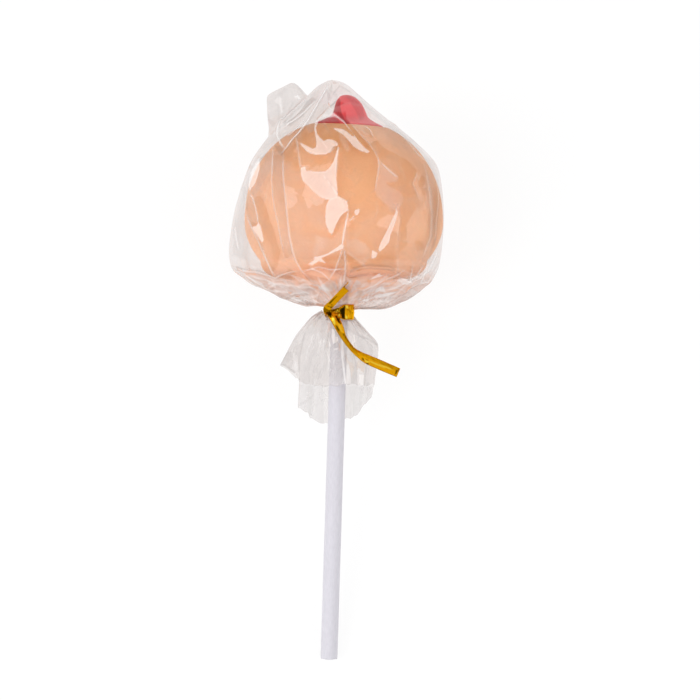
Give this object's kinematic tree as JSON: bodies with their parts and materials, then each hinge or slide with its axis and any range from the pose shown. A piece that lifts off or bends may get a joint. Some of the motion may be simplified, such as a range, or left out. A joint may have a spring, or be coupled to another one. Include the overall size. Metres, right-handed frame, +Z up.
{
  "type": "wrapped lollipop",
  "caption": "Round peach candy lollipop with a low pink cap, a white paper stick and a clear film bag tied with gold foil, lying on its back.",
  "frame": {"origin": "bottom centre of the bounding box, on the surface that the lollipop lies on", "axes": "+Z up, away from the surface; +Y from the stick's free end towards the candy head, level with the surface; +X to the right of the shown side, with the head up"},
  "size_m": [0.0634, 0.1668, 0.0598],
  "materials": {
    "peach_candy": "pressed peach candy, fine grain, slightly waxy",
    "pink_candy": "smooth rose-pink candy",
    "white_paper": "tightly rolled cool white paper",
    "clear_film": "thin clear cellophane film, crisp creases and sharp reflections",
    "gold_foil": "mirror-like gold metallised foil strip, creased along its length"
  },
  "bodies": {
    "root": {"candy": "peach_candy", "pink_cap": "pink_candy", "stick": "white_paper", "film_bag": "clear_film", "gold_tie": "gold_foil"}
  },
  "joints": []
}
